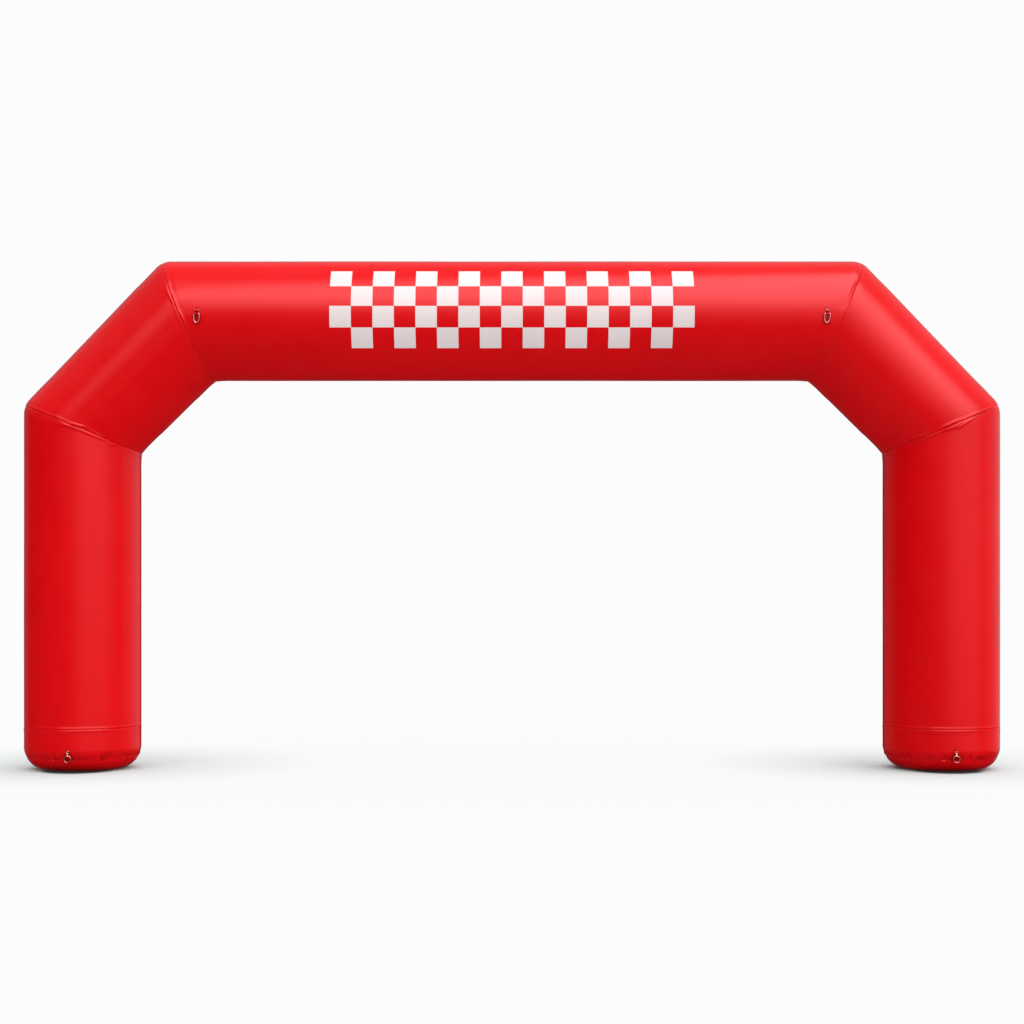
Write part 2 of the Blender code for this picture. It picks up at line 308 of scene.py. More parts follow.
def weave_height(tree, across, along, pitch):
    """A plain weave's relief, from -1 to 1."""
    turns = 2 * math.pi / pitch
    warp = calc(tree, "SINE", calc(tree, "MULTIPLY", across, turns))
    weft = calc(tree, "SINE", calc(tree, "MULTIPLY", along, turns))
    return calc(tree, "MULTIPLY", warp, weft)


# Materials

def check_mask(tree, across, along):
    """1 on the white squares of the check band, 0 elsewhere. Across starts at the beam's back."""
    first_row = BEAM_R * math.radians(90 + CHECK_TOP)
    first_column = BEAM_END_X - CHECK_SQUARE * CHECK_COLUMNS / 2
    inside = 1.0
    cells = []
    for value, start, count in ((across, first_row, CHECK_ROWS), (along, first_column, CHECK_COLUMNS)):
        place = calc(tree, "DIVIDE", calc(tree, "SUBTRACT", value, start), CHECK_SQUARE)
        above = calc(tree, "GREATER_THAN", place, 0.0)
        below = calc(tree, "LESS_THAN", place, float(count))
        inside = calc(tree, "MULTIPLY", inside, calc(tree, "MULTIPLY", above, below))
        cells.append(calc(tree, "FLOOR", place))
    odd = calc(tree, "FLOORED_MODULO", calc(tree, "ADD", *cells), 2.0)
    return calc(tree, "MULTIPLY", inside, calc(tree, "SUBTRACT", 1.0, odd))


def marked(tree, place, marks):
    """1 within any of these marks, each a centre and its reach, and 0 outside them all."""
    total = 0.0
    for centre, reach in marks:
        apart = node(tree, "ShaderNodeVectorMath", {0: place, 1: centre}, operation="SUBTRACT").outputs[0]
        apart = node(tree, "ShaderNodeVectorMath", {0: apart, 1: reach}, operation="DIVIDE").outputs[0]
        apart = node(tree, "ShaderNodeVectorMath", {0: apart}, operation="LENGTH").outputs["Value"]
        total = calc(tree, "MAXIMUM", total, ramp(tree, apart, 0.7, 1.25, 1.0, 0.0))
    return total


def gather_painted_shade(tree, place):
    """Painted shade that lies in the folds above the gathered seam, most of it on the +X side of each foot's
    front.
    """
    stretched = node(tree, "ShaderNodeVectorMath", {0: place, 1: (1.0, 1.0, 0.22)}, operation="MULTIPLY")
    streaks = ramp(tree, noise(tree, stretched.outputs[0], 26.0, 4.0, 0.65), 0.44, 0.66)
    height = node(tree, "ShaderNodeSeparateXYZ", {0: place}).outputs[2]
    band = calc(tree, "MULTIPLY", ramp(tree, height, 0.150, 0.095), ramp(tree, height, 0.062, 0.084))
    spots = [((sign * LEG_X + 0.15, -0.30, 0.11), (0.24, 0.24, 0.20)) for sign in SIDES.values()]
    share = calc(tree, "ADD", 0.15, calc(tree, "MULTIPLY", marked(tree, place, spots), 0.85))
    return calc(tree, "MULTIPLY", calc(tree, "MULTIPLY", streaks, band), share)


def coated_cloth(name, printed=False):
    """Satin red coating over a fine weave, a little uneven in tone and gloss, with painted shade round the
    rings and in the gathers' folds.
    """
    material, tree, shader = new_material(name)
    across, along, place = cloth_place(tree)
    tone = ramp(tree, noise(tree, place, 2.2, 3.0), 0.35, 0.65)
    colour = blend_colours(tree, tone, (0.505, 0.0006, 0.0024), (0.530, 0.0008, 0.0028))
    gloss = ramp(tree, noise(tree, place, 9.0, 4.0), 0.3, 0.7, 0.16, 0.20)
    weave = weave_height(tree, across, along, CLOTH_PITCH)
    normal = bump(tree, weave, 0.00002)
    if printed:
        mask = check_mask(tree, across, along)
        ink = blend_colours(tree, tone, (0.56, 0.50, 0.50), (0.60, 0.53, 0.53))
        colour = blend_colours(tree, mask, colour, ink)
        gloss = calc(tree, "ADD", gloss, calc(tree, "MULTIPLY", mask, 0.06))
        normal = bump(tree, mask, 0.00012, normal)
    # Painted shadow: the cloth is darkened round each ring on the beam and on the feet, where the ring shades
    # it.
    ring_shadow_marks = []
    for sign in SIDES.values():
        ring_shadow_marks.append(((sign * UPPER_RING_X, -BEAM_R, UPPER_BAR_Z - 0.026), (0.026, 0.1, 0.040)))
        ring_shadow_marks.append(((sign * LEG_X, -LEG_R, FOOT_RING_Z + 0.006), (0.029, 0.1, 0.036)))
    ring_shadow = calc(tree, "MULTIPLY", marked(tree, place, ring_shadow_marks), RING_PAINTED_SHADOW)
    painted_shade = calc(tree, "MAXIMUM", ring_shadow, calc(tree, "MULTIPLY", gather_painted_shade(tree, place), FOLD_PAINTED_SHADE))
    colour = blend_colours(tree, painted_shade, colour, PAINTED_SHADE_COLOUR)
    tree.links.new(colour, shader.inputs["Base Color"])
    tree.links.new(gloss, shader.inputs["Roughness"])
    tree.links.new(normal, shader.inputs["Normal"])
    shader.inputs["Specular IOR Level"].default_value = 0.5
    shader.inputs["Specular Tint"].default_value = (1.0, 0.52, 0.54, 1.0)
    return material


def webbing():
    """Woven strap with raised ribs across its width, the ribs painted lighter than the grooves, and painted
    shade on the beam's straps just above the rings.
    """
    material, tree, shader = new_material("webbing_red")
    across, along, place = cloth_place(tree)
    weave = weave_height(tree, across, along, WEBBING_PITCH)
    ribs = calc(tree, "SINE", calc(tree, "MULTIPLY", along, 2 * math.pi / WEBBING_PITCH))
    relief = calc(tree, "ADD", weave, calc(tree, "MULTIPLY", ribs, 0.6))
    # Painted shade: the weave's raised ribs are painted lighter and its grooves darker.
    lit = ramp(tree, relief, -1.2, 1.2)
    colour = blend_colours(tree, lit, (0.34, 0.001, 0.002), (0.50, 0.002, 0.004))
    # Painted shade: the beam's straps are darkened just above each ring, where the strap's loop and the ring
    # shade them.
    left = ((-UPPER_RING_X, -BEAM_R, UPPER_BAR_Z + 0.0115), (0.020, 0.1, 0.0065))
    right = ((UPPER_RING_X, -BEAM_R, UPPER_BAR_Z + 0.0155), (0.0085, 0.1, 0.0100))
    painted_dark = calc(tree, "MULTIPLY", marked(tree, place, (left, right)), STRAP_PAINTED_SHADE)
    colour = blend_colours(tree, painted_dark, colour, PAINTED_SHADE_COLOUR)
    tree.links.new(colour, shader.inputs["Base Color"])
    tree.links.new(ramp(tree, noise(tree, place, 300), 0.3, 0.7, 0.5, 0.7), shader.inputs["Roughness"])
    tree.links.new(bump(tree, relief, 0.00012), shader.inputs["Normal"])
    shader.inputs["Specular IOR Level"].default_value = 0.05
    return material


def thread(name, dark, light):
    """Twisted sewing thread."""
    material, tree, shader = new_material(name)
    place = node(tree, "ShaderNodeTexCoord").outputs["Object"]
    twist = noise(tree, place, 1500, 1.0)
    tree.links.new(blend_colours(tree, twist, dark, light), shader.inputs["Base Color"])
    tree.links.new(ramp(tree, twist, 0.3, 0.7, 0.45, 0.6), shader.inputs["Roughness"])
    tree.links.new(bump(tree, twist, 0.0001), shader.inputs["Normal"])
    return material


def metal(name, dark, light, roughness):
    """Plated or cast metal with faint rub marks."""
    material, tree, shader = new_material(name)
    place = node(tree, "ShaderNodeTexCoord").outputs["Object"]
    rub = noise(tree, place, 260, 4.0, 0.6)
    tree.links.new(blend_colours(tree, ramp(tree, rub, 0.35, 0.65), dark, light), shader.inputs["Base Color"])
    rough = ramp(tree, rub, 0.3, 0.7, roughness - 0.05, roughness + 0.07)
    tree.links.new(rough, shader.inputs["Roughness"])
    tree.links.new(bump(tree, noise(tree, place, 900, 2.0), 0.00003), shader.inputs["Normal"])
    shader.inputs["Metallic"].default_value = 1.0
    return material


# Mesh helpers

def finish_mesh(name, mesh, material, sharp=50):
    mesh.materials.append(material)
    mesh.shade_smooth()
    mesh.set_sharp_from_angle(angle=math.radians(sharp))
    item = bpy.data.objects.new(name, mesh)
    bpy.context.scene.collection.objects.link(item)
    return item


def grid_object(name, points, across, along, material):
    """A closed skin through rings of points, with end caps. Across and along are its flat sizes in metres:
    one value more than a ring has points, and one value for each point."""
    rings, count = points.shape[:2]
    i = np.arange(count)
    j = (i + 1) % count
    start = np.arange(rings - 1)[:, None] * count
    quads = np.stack((start + i, start + j, start + count + j, start + count + i), 2).reshape(-1, 4)
    last = (rings - 1) * count
    caps = [list(reversed(range(count))), list(range(last, last + count))]
    mesh = bpy.data.meshes.new(name)
    mesh.from_pydata(points.reshape(-1, 3).tolist(), [], quads.tolist() + caps)
    edges = np.stack((across[:-1], across[1:], across[1:], across[:-1]), 1)
    u = np.broadcast_to(edges, (rings - 1, count, 4))
    v = np.stack((along[:-1][:, i], along[:-1][:, j], along[1:][:, j], along[1:][:, i]), 2)
    flat = np.stack((u, v), 3).reshape(-1, 2)
    ends = np.concatenate([points[0][::-1, :2], points[-1][:, :2]])
    layer = mesh.uv_layers.new(name="Cloth")
    layer.data.foreach_set("uv", np.concatenate((flat, ends)).astype(np.float32).ravel())
    return finish_mesh(name, mesh, material)


def place_points(points, matrix):
    turn = np.array(matrix.to_3x3(), float)
    return points @ turn.T + np.array(matrix.translation, float)


def ripple(angle, seed, waves):
    """Smooth unevenness round a turn, mostly from -1 to 1."""
    draw = np.random.default_rng(seed)
    total = np.zeros_like(angle)
    for count in range(waves[0], waves[1] + 1):
        total += draw.uniform(0.4, 1.0) * np.cos(count * angle + draw.uniform(0, 2 * math.pi))
    return total / math.sqrt(waves[1] - waves[0] + 1)


def hump(distance, middle, run):
    return np.exp(-(((distance - middle) / run) ** 2))


# Tubes

def fade(distance, run):
    return max(0.0, 1 - distance / run) ** 2


def frame_offset(distance, angle, slope):
    """How much nearer the axis the cloth is near a mitre seam, as the frame has it."""
    outer = np.maximum(0.0, np.cos(angle))
    inner = np.maximum(0.0, -np.cos(angle))
    rounding = CORNER_RUN * slope * outer / 2 * fade(distance, CORNER_RUN)
    swelling = BULGE * slope * inner**2 * fade(distance, BULGE_RUN)
    return rounding - swelling


def patches(angle, seed):
    """Where a sewn seam shows more and where less, from 0 to 1.2."""
    return np.clip(0.55 + 0.55 * ripple(angle, seed, PATCH_WAVES), 0, 1.2)


def tuck_relief(distance, angle, seed):
    """Folds that run beside a sewn seam and draw slowly away from it, each a long low lens."""
    draw = np.random.default_rng(seed)
    total = np.zeros_like(angle)
    for k in range(TUCKS):
        start = 2 * math.pi * (k + draw.uniform(-0.45, 0.45)) / TUCKS
        way = draw.choice((-1, 1))
        length = TUCK_LENGTH * draw.uniform(0.35, 1.0)
        height = TUCK_HEIGHT * draw.uniform(0.2, 1.0)
        drift = draw.uniform(*TUCK_DRIFT)
        along = way * LEG_R * ((angle - start + math.pi) % (2 * math.pi) - math.pi)
        share = np.clip(along / length, 0, 1)
        width = TUCK_WIDTH[0] + TUCK_WIDTH[1] * length * share
        crest = height * np.sin(math.pi * share**0.7)
        total += crest * hump(distance, TUCK_AT + drift * length * share, width)
    return total


def seam_relief(distance, angle, seed, kind):
    """The sewn seam's crease, ridge, puckers and tucks, as metres outwards."""
    height, at, low, high = RIDGES[kind]
    level = np.cos(angle)
    inside = np.minimum(level - low, high - level)
    spread = np.clip(inside / RIDGE_EDGE + 0.5, 0, 1)
    ridge = (RIDGE_LOW + height * spread * (0.35 + 0.65 * patches(angle, seed))) * hump(distance, at, at)
    crease = CREASE_DEPTH * hump(distance, 0, CREASE_RUN)
    if kind in ("leg_foot", "foot_top"):
        folds = 0.0
    else:
        folds = tuck_relief(distance, angle, seed + 5) * np.clip(1.5 * (1 - level**2), 0, 1)
    if kind in ("diagonal_corner", "beam_corner"):
        sharp = np.clip((level + 0.45) / 0.5, 0, 1)
        crease = crease * (CREASE_LEAST + (1 - CREASE_LEAST) * sharp)
        folds = folds * (0.2 + 0.6 * sharp)
    pull = np.minimum(0, ripple(angle, seed + 3, PUCKER_WAVES)) * patches(angle, seed + 2)
    reach = PUCKER_RUN * (1 + 0.4 * ripple(angle, seed + 4, REACH_WAVES))
    onset = 1 - math.exp(-distance / PUCKER_ONSET)
    pucker = PUCKER_DEPTH * pull * onset * np.exp(-distance / np.maximum(PUCKER_LEAST_RUN, reach))
    return ridge - crease + folds + pucker


def tube_points(tube, at_end, distance, angle):
    """Points on the skin at this distance from one of the tube's seams, in the tube's own axes."""
    sign = -1 if at_end else 1
    length = tube["length"]
    share = (length * at_end + sign * distance) / length
    full = tube["radii"][0] + (tube["radii"][1] - tube["radii"][0]) * share
    slope = tube["slopes"][at_end]
    radius = full - frame_offset(distance, angle, slope)
    radius += seam_relief(distance, angle, tube["seed"] + 10 * at_end, tube["seams"][at_end])
    along = length * at_end + sign * (distance - full * np.cos(angle) * slope)
    radius += unevenness(tube, along, angle)
    x = radius * np.cos(angle)
    return np.stack((x, radius * np.sin(angle), length * at_end + sign * (distance - x * slope)), -1)


def unevenness(tube, along, angle):
    """Slow waviness that no full tube is free of."""
    seed = tube["seed"]
    return UNEVEN * (np.sin(2.9 * along + 2 * angle + seed) + np.sin(4.7 * along - 3 * angle + 2 * seed)) / 2


def near_distances():
    """Distances from a seam: close together beside it, then wider apart."""
    zone = GAP / 2 + (SEAM_ZONE - GAP / 2) * np.arange(SEAM_ZONE_RINGS) / SEAM_ZONE_RINGS
    beyond = SEAM_ZONE + (NEAR_RUN - SEAM_ZONE) * (np.arange(NEAR_RINGS + 1) / NEAR_RINGS) ** 1.4
    return [*zone, *beyond]


def tube_skin(tube, material):
    """The full skin of a tube between its two seams."""
    matrix = tube["matrix"]
    back = math.atan2(matrix[1][1], matrix[1][0])
    angle = back + 2 * math.pi * np.arange(TUBE_SIDES) / TUBE_SIDES
    first = [tube_points(tube, 0, distance, angle) for distance in near_distances()]
    last = [tube_points(tube, 1, distance, angle) for distance in near_distances()]
    steps = max(2, round((tube["length"] - 2 * NEAR_RUN) / MIDDLE_PITCH))
    middle = []
    for k in range(1, steps):
        share = k / steps
        z = first[-1][:, 2] + (last[-1][:, 2] - first[-1][:, 2]) * share
        full = tube["radii"][0] + (tube["radii"][1] - tube["radii"][0]) * z / tube["length"]
        radius = full + unevenness(tube, z, angle)
        middle.append(np.stack((radius * np.cos(angle), radius * np.sin(angle), z), -1))
    points = np.array(first + middle + last[::-1])
    across = tube["radii"][1] * 2 * math.pi * np.arange(TUBE_SIDES + 1) / TUBE_SIDES
    name = f"skin_{tube['name']}"
    return grid_object(name, place_points(points, matrix), across, points[:, :, 2], material)


def make_tube(name, start, end, outer, radii, slopes, seams, seed):
    z = (end - start).normalized()
    y = z.cross(outer).normalized()
    matrix = Matrix((y.cross(z), y, z)).transposed().to_4x4()
    matrix.translation = start
    return {
        "name": name,
        "matrix": matrix,
        "length": (end - start).length,
        "radii": radii,
        "slopes": slopes,
        "seams": seams,
        "seed": seed,
    }


def all_tubes():
    """Both legs, both diagonals and the beam, as the frame lays them out."""
    up = Vector((0, 0, 1))
    tubes = []
    ends = {}
    for side, sign in SIDES.items():
        foot = Vector((sign * LEG_X, 0, FOOT_SEAM_Z))
        shoulder = Vector((sign * LEG_X, 0, SHOULDER_Z))
        corner = Vector((sign * BEAM_END_X, 0, BEAM_Z))
        lean = (corner - shoulder).angle(up)
        shoulder_slope = math.tan(lean / 2)
        corner_slope = math.tan((math.pi / 2 - lean) / 2)
        outward = Vector((sign, 0, 0))
        seed = 100 if sign < 0 else 200
        slopes, seams = (0, shoulder_slope), ("leg_foot", "leg_shoulder")
        tubes.append(make_tube(f"leg_{side}", foot, shoulder, outward, (LEG_R, LEG_R), slopes, seams, seed))
        slopes, seams = (shoulder_slope, corner_slope), ("diagonal_shoulder", "diagonal_corner")
        radii, name = (LEG_R, BEAM_R), f"diagonal_{side}"
        tubes.append(make_tube(name, shoulder, corner, outward, radii, slopes, seams, seed + 30))
        ends[side] = corner
    slopes, seams = (corner_slope, corner_slope), ("beam_corner", "beam_corner")
    tubes.append(make_tube("beam", ends["left"], ends["right"], up, (BEAM_R, BEAM_R), slopes, seams, 300))
    return tubes


# Stitches

def stitches(name, runs, material, radius=THREAD_R):
    """Short threads as one mesh. A run is three arrays: where each stitch starts and ends, and the way out
    of the cloth there."""
    start = np.concatenate([run[0] for run in runs])
    end = np.concatenate([run[1] for run in runs])
    out = np.concatenate([run[2] for run in runs])
    across = np.cross(end - start, out)
    across /= np.linalg.norm(across, axis=1)[:, None]
    sunk = out * radius * 0.9
    points = [start - sunk]
    for share in (0.2, 0.8):
        middle = start + (end - start) * share + out * radius * 0.2
        for k in range(THREAD_SIDES):
            turn = 2 * math.pi * k / THREAD_SIDES
            points.append(middle + radius * (math.cos(turn) * across + math.sin(turn) * out))
    points.append(end - sunk)
    points = np.stack(points, 1)
    size = 2 * THREAD_SIDES + 2
    near = [1 + k for k in range(THREAD_SIDES)]
    far = [1 + THREAD_SIDES + k for k in range(THREAD_SIDES)]
    pattern = []
    for k in range(THREAD_SIDES):
        j = (k + 1) % THREAD_SIDES
        pattern += [(0, near[j], near[k]), (near[k], near[j], far[j], far[k]), (far[k], far[j], size - 1)]
    faces = [[size * n + corner for corner in face] for n in range(len(points)) for face in pattern]
    mesh = bpy.data.meshes.new(name)
    mesh.from_pydata(points.reshape(-1, 3).tolist(), [], faces)
    return finish_mesh(name, mesh, material, sharp=180)


def tube_stitches(tube, material):
    """A row beside each of the tube's seams."""
    runs = []
    for at_end in (0, 1):
        count = round(2 * math.pi * tube["radii"][at_end] / STITCH_PITCH)
        angle = 2 * math.pi * np.arange(count) / count
        reach = STITCH_LENGTH / tube["radii"][at_end]
        start = tube_points(tube, at_end, STITCH_AT, angle)
        end = tube_points(tube, at_end, STITCH_AT, angle + reach)
        out = np.stack((np.cos(angle), np.sin(angle), 0 * angle), -1)
        turn = np.array(tube["matrix"].to_3x3(), float)
        runs.append((place_points(start, tube["matrix"]), place_points(end, tube["matrix"]), out @ turn.T))
    return stitches(f"stitching_{tube['name']}", runs, material)


# Feet

def drawn_fold(draw, angle, depth, ranges):
    """One fold, each of its measures drawn from its range."""
    fold = {key: draw.uniform(*span) for key, span in ranges.items()}
    fold["angle"] += angle
    fold["depth"] *= depth
    fold["up"] *= GATHER_RUN
    fold["down"] *= GATHER_RUN
    return fold


def gather_folds(side_seed):
    """Each fold's place round the foot, depth, width and how far it runs up and down, uneven as sewn."""
    draw = np.random.default_rng(side_seed)
    folds = []
    for k in range(GATHER_FOLDS):
        angle = 2 * math.pi * (2 * k + 1) / (2 * GATHER_FOLDS)
        strength = 0.7 + 0.2 * math.sin(3 * angle + 0.8) + 0.1 * math.sin(7 * angle)
        folds.append(drawn_fold(draw, angle, GATHER_DEPTH * strength, GATHER_FOLD))
        if draw.uniform() < SMALL_FOLD_CHANCE:
            folds.append(drawn_fold(draw, angle, GATHER_DEPTH * strength, SMALL_FOLD))
    return folds


def gather_relief(height, angle, folds):
    """How far the folds draw the cloth in at this height."""
    total = np.zeros_like(angle)
    for fold in folds:
        rise = height - GATHER_Z
        run = fold["up"] if rise > 0 else fold["down"]
        near = max(0.0, 1 - abs(rise) / run)
        if near > 0:
            middle = fold["angle"] + fold["slant"] * rise
            apart = (angle - middle + math.pi) % (2 * math.pi) - math.pi
            total += fold["depth"] * near * near * (3 - 2 * near) / (1 + (apart / fold["width"]) ** 2) ** 2
    return total


def foot_radius(height, radius, angle, folds):
    near = max(0.0, 1 - abs(height - GATHER_Z) / GATHER_RUN)
    depth, run = SEAM_LINE
    pinch = GATHER_PINCH * near**2 + depth * float(hump(height - GATHER_Z, 0, run))
    return radius - pinch - gather_relief(height, angle, folds)


def curve_point(turn):
    """Height and radius where the foot's rounded edge has turned this far under."""
    return FOOT_CURVE * (1 - math.sin(turn)), LEG_R - FOOT_CURVE * (1 - math.cos(turn))


def band_radius(height, angle, folds, seed):
    """The foot band above the rounded edge, with its seam and the doubled edge below it."""
    if height < FOOT_CURVE:
        turn = math.asin(1 - height / FOOT_CURVE)
        return foot_radius(height, curve_point(turn)[1], angle, folds)
    distance = FOOT_SEAM_Z - height
    lap = LAP_THICKNESS * (1.0 if distance < LAP_HEIGHT else 0.0)
    return foot_radius(height, LEG_R + lap, angle, folds) + seam_relief(distance, angle, seed, "foot_top")


def foot_object(name, rings, sign, material, angle):
    """A skin from (height, radius) rings round the leg's axis."""
    centre = sign * LEG_X
    points = [
        np.stack((centre + radius * np.cos(angle), radius * np.sin(angle), np.full_like(angle, height)), -1)
        for height, radius in rings
    ]
    heights = [height for height, _ in rings]
    widths = [float(np.mean(radius)) for _, radius in rings]
    lengths = np.concatenate(([0], np.cumsum(np.hypot(np.diff(heights), np.diff(widths)))))
    across = LEG_R * 2 * math.pi * np.arange(len(angle) + 1) / len(angle)
    along = np.broadcast_to(lengths[:, None], (len(rings), len(angle)))
    return grid_object(name, np.array(points), across, along, material)


def foot_pieces(side, sign, materials):
    """The foot band, the base disc and their stitching."""
    seed = 400 if sign < 0 else 500
    folds = gather_folds(seed)
    angle = math.pi / 2 + 2 * math.pi * np.arange(FOOT_SIDES) / FOOT_SIDES
    heights = [GATHER_Z + GAP / 2 + CURVE_RISE * (k / CURVE_RINGS) ** 1.2 for k in range(CURVE_RINGS + 1)]
    heights += [FOOT_CURVE + PLAIN_PITCH * k for k in range(PLAIN_RINGS)]
    heights += [FOOT_SEAM_Z - LAP_HEIGHT + step for step in LAP_STEPS]
    heights += [FOOT_SEAM_Z - distance for distance in near_distances()[:SEAM_ZONE_RINGS - 2][::-1]]
    band = [(height, band_radius(height, angle, folds, seed + 1)) for height in heights]
    seam_turn = math.asin(1 - GATHER_Z / FOOT_CURVE)
    disc = []
    for k in range(DISC_RINGS + 1):
        turn = math.pi / 2 + (seam_turn - math.pi / 2) * (1 - (1 - k / DISC_RINGS) ** 1.3)
        height, radius = curve_point(turn)
        height = min(height, GATHER_Z - GAP / 2)
        disc.append((height, foot_radius(height, radius, angle, folds)))
    count = round(2 * math.pi * LEG_R / STITCH_PITCH)
    steps = 2 * math.pi * np.arange(count) / count
    height = FOOT_SEAM_Z - STITCH_AT
    ends = []
    for turn in (steps, steps + STITCH_LENGTH / LEG_R):
        radius = band_radius(height, turn, folds, seed + 1)
        x = sign * LEG_X + radius * np.cos(turn)
        ends.append(np.stack((x, radius * np.sin(turn), np.full_like(turn, height)), -1))
    runs = [(*ends, np.stack((np.cos(steps), np.sin(steps), 0 * steps), -1))]
    return {
        "band": foot_object(f"skin_foot_{side}", band, sign, materials["cloth"], angle),
        "disc": foot_object(f"skin_base_{side}", disc, sign, materials["cloth"], angle),
        "stitching": stitches(f"stitching_foot_{side}", runs, materials["thread"]),
    }


# Metal

def arc(centre, radii, start, end, steps):
    """Points in the XZ plane on an ellipse from one angle to another, both included."""
    turns = start + (end - start) * np.arange(steps + 1) / steps
    x = centre[0] + radii[0] * np.cos(turns)
    z = centre[1] + radii[1] * np.sin(turns)
    return np.stack((x, 0 * x, z), -1)


def d_outline(size, steps):
    """A D ring's centre line with its bar at Z = 0."""
    half = (size["width"] - size["wire"]) / 2
    corner = size["corner"]
    knee = -corner - size["side"]
    drop = size["height"] - size["wire"] + knee
    parts = [
        arc((half - corner, -corner), (corner, corner), math.pi / 2, 0, 8),
        arc((0, knee), (half, drop), 0, -math.pi, steps),
        arc((corner - half, -corner), (corner, corner), math.pi, math.pi / 2, 8),
    ]
    return np.concatenate(parts)


def wire_points(outline, wire, sides=20):
    """Rings of a round wire along a closed outline in the XZ plane, one ring to each of its points."""
    along = np.roll(outline, -1, 0) - np.roll(outline, 1, 0)
    along /= np.linalg.norm(along, axis=1)[:, None]
    out = np.array((0.0, 1.0, 0.0))
    side = np.cross(along, out)
    turns = 2 * math.pi * np.arange(sides) / sides
    return outline[:, None] + wire / 2 * (
        np.cos(turns)[None, :, None] * side[:, None] + np.sin(turns)[None, :, None] * out
    )


def ring_mesh(name, outline, wire, sides=20):
    """A closed wire."""
    points = wire_points(outline, wire, sides)
    rings, count = points.shape[:2]
    faces = []
    for k in range(rings):
        low, high = k * count, (k + 1) % rings * count
        for i in range(count):
            j = (i + 1) % count
            faces.append((low + i, low + j, high + j, high + i))
    mesh = bpy.data.meshes.new(name)
    mesh.from_pydata(points.reshape(-1, 3).tolist(), [], faces)
    return mesh


def turned_mesh(name, profile, turn, closed, sides=32):
    """A profile of (radius, height) turned round local Z, then placed by a matrix."""
    count = len(profile)
    points = []
    for k in range(sides):
        angle = 2 * math.pi * k / sides
        points += [turn @ Vector((r * math.cos(angle), r * math.sin(angle), z)) for r, z in profile]
    faces = []
    for k in range(sides):
        low, high = k * count, (k + 1) % sides * count
        for i in range(count if closed else count - 1):
            j = (i + 1) % count
            faces.append((low + i, high + i, high + j, low + j))
    if not closed:
        faces.append([k * count for k in reversed(range(sides))])
        faces.append([k * count + count - 1 for k in range(sides)])
    mesh = bpy.data.meshes.new(name)
    mesh.from_pydata([tuple(point) for point in points], [], faces)
    return mesh


def apply_modifiers(item):
    """The object's mesh as its modifiers leave it."""
    mesh = bpy.data.meshes.new_from_object(item.evaluated_get(bpy.context.evaluated_depsgraph_get()))
    item.modifiers.clear()
    item.data = mesh


def fused(name, meshes, material, voxel):
    """Several closed meshes melted into one casting."""
    points, faces = [], []
    for mesh in meshes:
        base = len(points)
        points += [tuple(vertex.co) for vertex in mesh.vertices]
        faces += [[base + corner for corner in face.vertices] for face in mesh.polygons]
    mesh = bpy.data.meshes.new(name)
    mesh.from_pydata(points, [], faces)
    item = bpy.data.objects.new(name, mesh)
    bpy.context.scene.collection.objects.link(item)
    remesh = item.modifiers.new("melt", "REMESH")
    remesh.mode = "VOXEL"
    remesh.voxel_size = voxel
    smooth = item.modifiers.new("cast", "SMOOTH")
    smooth.factor = 0.5
    smooth.iterations = 4
    apply_modifiers(item)
    item.data.materials.clear()
    item.data.materials.append(material)
    item.data.shade_smooth()
    return item


def link_object(name, heights, material):
    """A swivel link: a sleeve on the ring, a beaded barrel and the eye that the tab holds."""
    sleeve_z, barrel_z, eye_z = heights
    half = SLEEVE_WIDTH / 2
    lip = 0.0012
    wall = [
        (SLEEVE_INNER_R, -half),
        (SLEEVE_OUTER_R - lip, -half),
        (SLEEVE_OUTER_R, -half + lip),
        (SLEEVE_OUTER_R, half - lip),
        (SLEEVE_OUTER_R - lip, half),
        (SLEEVE_INNER_R, half),
    ]
    across = Matrix.Translation((0, 0, sleeve_z)) @ Matrix.Rotation(math.pi / 2, 4, "Y")
    sleeve = turned_mesh(f"{name}_sleeve", wall, across, True)
    low, high = -LINK_BARREL_HEIGHT / 2, LINK_BARREL_HEIGHT / 2
    radius = LINK_BARREL_R
    turned = [
        (radius - 0.0008, low),
        (radius, low + 0.0010),
        (radius, low + 0.0030),
        (radius - 0.0013, low + 0.0038),
        (radius - 0.0013, low + 0.0046),
        (radius, low + 0.0054),
        (radius, high - 0.0010),
        (radius - 0.0010, high),
    ]
    barrel = turned_mesh(f"{name}_barrel", turned, Matrix.Translation((0, 0, barrel_z)), False)
    eye = ring_mesh(f"{name}_eye", d_outline(LINK_EYE, 28), LINK_EYE["wire"], 14)
    eye.transform(Matrix.Translation((0, 0, eye_z)))
    return fused(name, [sleeve, barrel, eye], material, 0.0005)


# Tabs

def smooth_path(points, rounds):
    """Corner cutting that keeps both ends."""
    for _ in range(rounds):
        cut = [points[0]]
        for a, b in zip(points, points[1:]):
            cut += [0.75 * a + 0.25 * b, 0.25 * a + 0.75 * b]
        points = [*cut, points[-1]]
    return np.array(points)


def tab_path(size, wire, standoff):
    """The strap's middle line as (y, z): down the wall, round the wire and up over itself."""
    strap = size["strap"]
    loop = wire / 2 + size["clear"] + strap / 2
    back, front = -GAP - strap / 2, -GAP - 1.52 * strap
    points = [np.array((back, size["top"])), np.array((back, 0.5 * (size["top"] + size["waist"])))]
    points.append(np.array((back, size["waist"])))
    for k in range(19):
        turn = math.radians(-196 + 212 * k / 18)
        points.append(np.array((-standoff - loop * math.cos(turn), loop * math.sin(turn))))
    points.append(np.array((front, size["waist"])))
    points.append(np.array((front, 0.5 * (size["top"] + size["waist"]))))
    points.append(np.array((front, size["top"] - 0.0012)))
    return smooth_path(points, 2)


